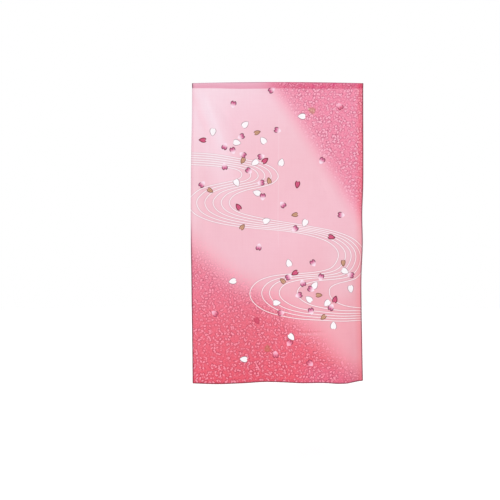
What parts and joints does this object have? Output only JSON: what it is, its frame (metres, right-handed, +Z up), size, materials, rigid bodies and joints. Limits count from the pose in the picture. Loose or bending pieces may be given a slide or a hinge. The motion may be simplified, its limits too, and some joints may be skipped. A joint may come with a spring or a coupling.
{
  "type": "noren curtain",
  "caption": "Unsplit doorway curtain of thin printed cloth, hung by a pole pocket sewn along its top edge, hemmed at its sides and foot.",
  "frame": {"origin": "middle of the curtain's top edge, on top of the pole pocket", "axes": "+Z up, along the cloth's length; +X across it, to the right for a viewer of the printed face, which looks along -Y"},
  "size_m": [0.859, 0.0508, 1.5001],
  "materials": {
    "pocket_cloth": "matt printed plain weave, two layers",
    "panel_cloth": "matt printed plain weave, thin and slightly sheer"
  },
  "bodies": {
    "root": {"pole_pocket": "pocket_cloth", "curtain_panel": "panel_cloth"}
  },
  "joints": []
}
